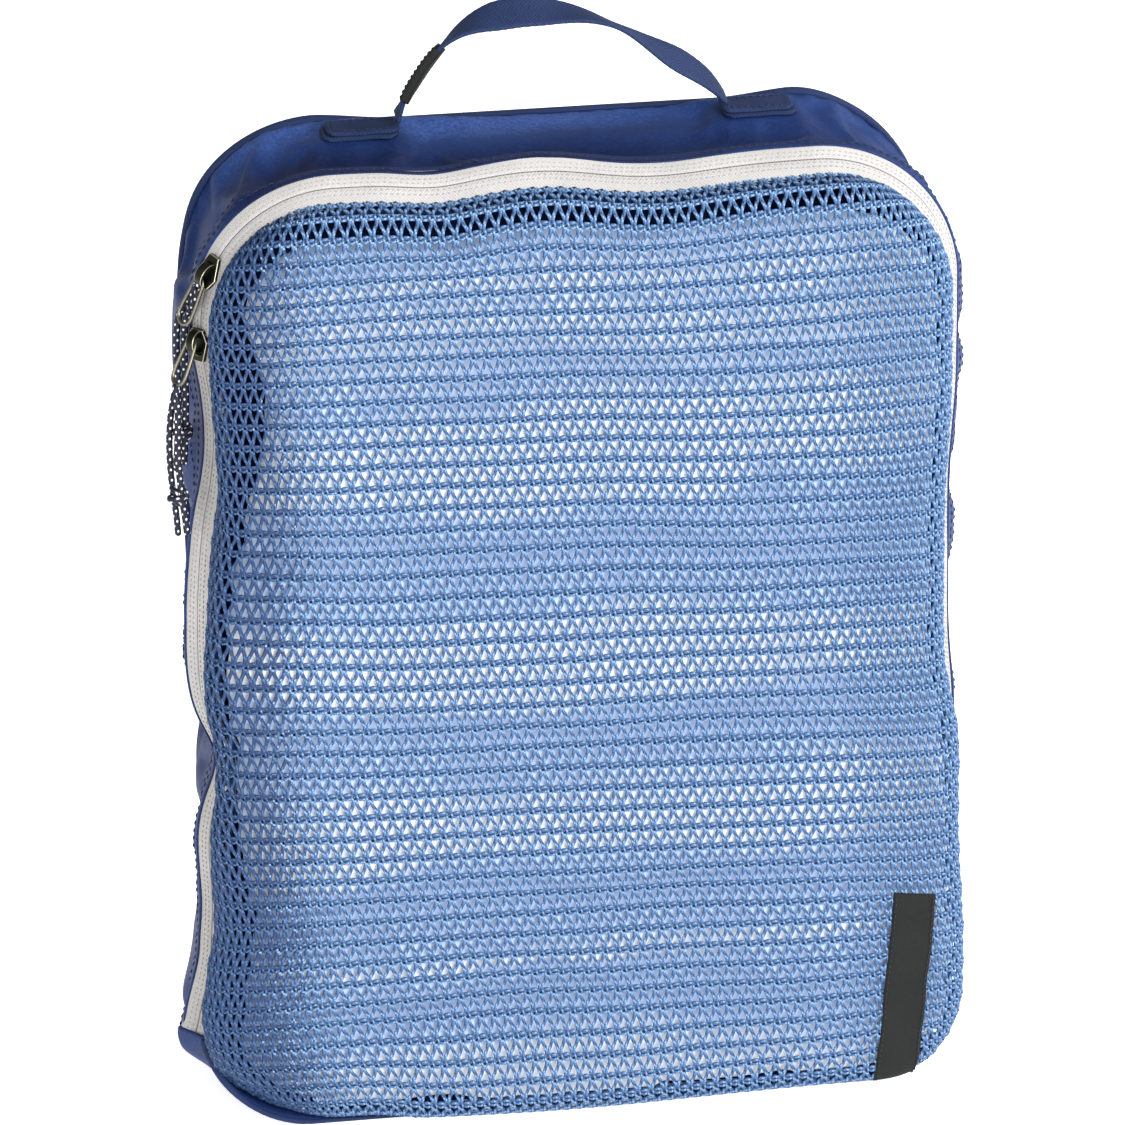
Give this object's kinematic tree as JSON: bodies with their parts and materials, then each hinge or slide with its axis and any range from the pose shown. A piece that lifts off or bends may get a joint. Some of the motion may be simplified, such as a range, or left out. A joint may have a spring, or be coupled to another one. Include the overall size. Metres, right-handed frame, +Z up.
{
  "type": "packing cube",
  "caption": "Soft packing cube with a fabric body, a zipped open-mesh front that drops open, a webbing carry handle and wire zip pulls with knotted cords.",
  "frame": {"origin": "on the standing surface, under the middle of the body gusset's depth and width", "axes": "+X to the right seen from the mesh front, +Y to the back panel, +Z up to the carry handle"},
  "size_m": [0.2723, 0.0817, 0.3893],
  "materials": {
    "navy_fabric": "matt coated fabric with a fine diagonal weave",
    "binding_tape": "matt folded binding tape",
    "zip_tape": "matt woven zip tape",
    "zip_coil": "coiled monofilament",
    "mesh_yarn": "knitted open mesh, slightly shiny yarn",
    "garment_cloth": "soft pale folded cloth",
    "handle_webbing": "ribbed webbing",
    "black_woven": "dense woven label tape",
    "slider_metal": "gunmetal plating, worn pale at the edges",
    "pull_wire": "dark nickel plated wire",
    "flecked_cord": "braided cord with pale flecks"
  },
  "bodies": {
    "case": {"back_panel": "navy_fabric", "back_binding": "binding_tape", "gusset_top": "navy_fabric", "gusset_left": "navy_fabric", "gusset_right": "navy_fabric", "gusset_bottom": "navy_fabric", "hinge_seam_binding": "binding_tape", "zip_tape_case": "zip_tape", "zip_coil_case": "zip_coil", "seam_binding_case": "binding_tape", "handle_patch_left": "handle_webbing", "handle_patch_right": "handle_webbing"},
    "lid": {"mesh_panel": "mesh_yarn", "zip_tape_lid": "zip_tape", "zip_coil_lid": "zip_coil", "seam_binding_lid": "binding_tape", "folded_garment": "garment_cloth", "front_label": "black_woven"},
    "handle": {"handle_webbing": "handle_webbing", "handle_tag": "black_woven"},
    "slider_upper": {"slider_upper": "slider_metal"},
    "pull_upper": {"pull_wire_upper": "pull_wire", "cord_upper_rear": "flecked_cord", "cord_upper_front": "flecked_cord", "knot_upper": "flecked_cord"},
    "slider_lower": {"slider_lower": "slider_metal"},
    "pull_lower": {"pull_wire_lower": "pull_wire", "cord_lower_rear": "flecked_cord", "cord_lower_front": "flecked_cord", "knot_lower": "flecked_cord"}
  },
  "joints": [
    {"name": "lid_hinge", "type": "hinge", "parent": "case", "child": "lid", "pos_m": [0, -0.05, 0.004], "axis": [1, 0, 0], "range_deg": [0, 90]},
    {"name": "handle_fold", "type": "hinge", "parent": "case", "child": "handle", "pos_m": [0, 0.012, 0.353], "axis": [1, 0, 0], "range_deg": [-80, 80]},
    {"name": "upper_slider_round_corner", "type": "hinge", "parent": "case", "child": "slider_upper", "pos_m": [-0.081, -0.03006, 0.295], "axis": [0, 1, 0], "range_deg": [0, 65]},
    {"name": "lower_slider_down_side", "type": "slide", "parent": "case", "child": "slider_lower", "axis": [0, 0, -1], "range_m": [0, 0.215]},
    {"name": "upper_pull_swing", "type": "hinge", "parent": "slider_upper", "child": "pull_upper", "pos_m": [-0.12669, -0.03149, 0.31289], "axis": [-0.4532, 0.866, 0.2113], "range_deg": [0, 110]},
    {"name": "lower_pull_swing", "type": "hinge", "parent": "slider_lower", "child": "pull_lower", "pos_m": [-0.12997, -0.03149, 0.2921], "axis": [-0.5, 0.866, 0], "range_deg": [0, 90]}
  ]
}
